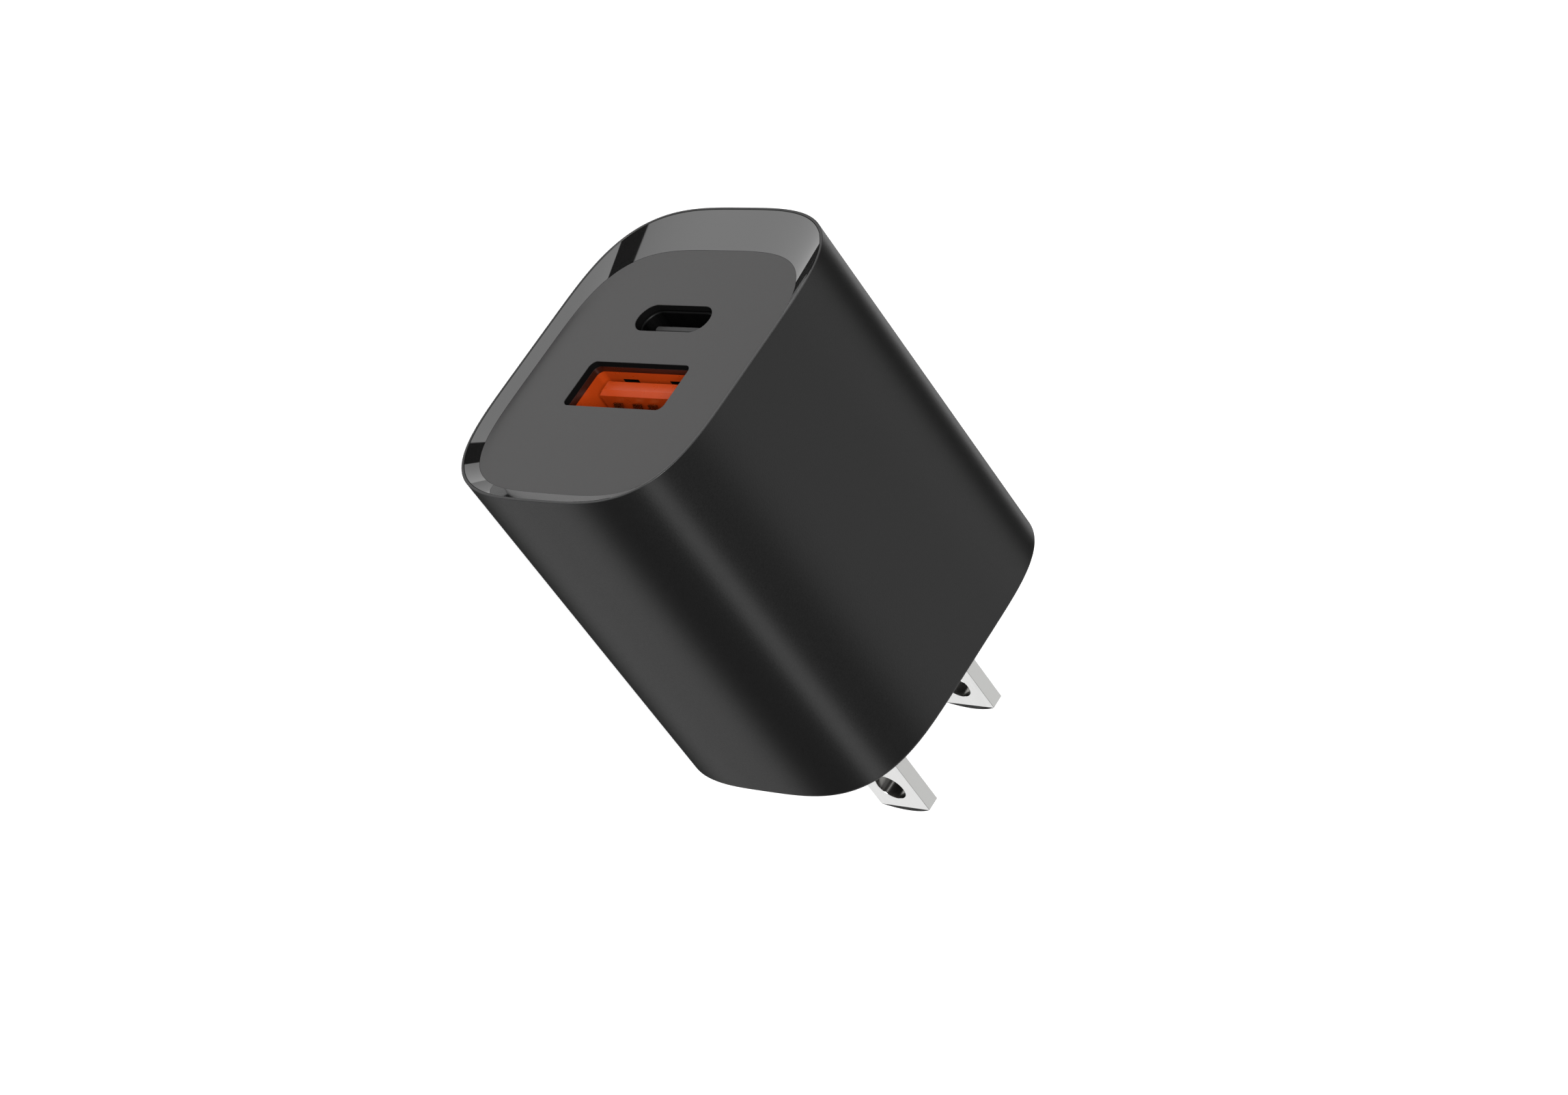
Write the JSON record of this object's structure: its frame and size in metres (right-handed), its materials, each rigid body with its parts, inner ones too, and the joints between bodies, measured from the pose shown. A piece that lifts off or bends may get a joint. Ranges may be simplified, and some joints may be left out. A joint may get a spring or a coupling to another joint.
{
  "type": "usb wall charger",
  "caption": "Compact black wall charger with fixed flat blades, a dished glossy rim and a recessed panel that holds an orange USB-A socket and a USB-C socket.",
  "frame": {"origin": "centre of the housing's flat rear face, which lies against the wall outlet", "axes": "+Y out of the rear face along the blades, so the ports face -Y; +X towards the USB-A end; +Z along the ports' long side, to the broad side that lies uppermost"},
  "size_m": [0.036, 0.0563, 0.0292],
  "materials": {
    "housing_plastic": "satin black moulding with a fine texture",
    "bezel_gloss": "polished black",
    "panel_plastic": "satin dark grey moulding",
    "orange_socket": "glossy orange moulding",
    "usb_c_insulator_plastic": "black moulding with a grey tongue",
    "black_insulator": "black phenolic",
    "tinned_steel": "bright tin",
    "usb_c_shell_steel": "darkened steel",
    "gold_contact": "gold flash on bronze",
    "spring_brass": "plain rolled brass",
    "blade_nickel": "nickel plate with a fine drawn grain",
    "circuit_board": "green solder mask",
    "ferrite": "grey sintered ferrite",
    "winding_tape": "yellow polyester tape",
    "insulating_film": "white film",
    "fuse_ceramic": "lacquered ceramic with tinned caps",
    "disc_lacquer": "blue epoxy lacquer",
    "capacitor_can": "aluminium can",
    "chip_moulding": "black epoxy moulding"
  },
  "bodies": {
    "root": {"blade_contact_left": "spring_brass", "blade_contact_right": "spring_brass", "blade_holder": "black_insulator", "blade_left": "blade_nickel", "blade_right": "blade_nickel", "bridge_rectifier": "chip_moulding", "front_bezel": "bezel_gloss", "fuse": "fuse_ceramic", "housing": "housing_plastic", "input_capacitor_1": "capacitor_can", "input_capacitor_2": "capacitor_can", "input_choke": "ferrite", "insulation_sheet": "insulating_film", "main_board": "circuit_board", "optocoupler": "chip_moulding", "output_capacitor_1": "capacitor_can", "output_capacitor_2": "capacitor_can", "port_board": "circuit_board", "port_panel": "panel_plastic", "primary_switch_chip": "chip_moulding", "protocol_chip": "chip_moulding", "supply_capacitor": "capacitor_can", "sync_rectifier_chip": "chip_moulding", "transformer_bobbin": "black_insulator", "transformer_core_left": "ferrite", "transformer_core_right": "ferrite", "transformer_winding": "winding_tape", "usb_a_body": "orange_socket", "usb_a_contact_1": "gold_contact", "usb_a_contact_2": "gold_contact", "usb_a_contact_3": "gold_contact", "usb_a_contact_4": "gold_contact", "usb_a_shield": "tinned_steel", "usb_c_insulator": "usb_c_insulator_plastic", "usb_c_shell": "usb_c_shell_steel", "y_capacitor": "disc_lacquer"}
  },
  "joints": []
}
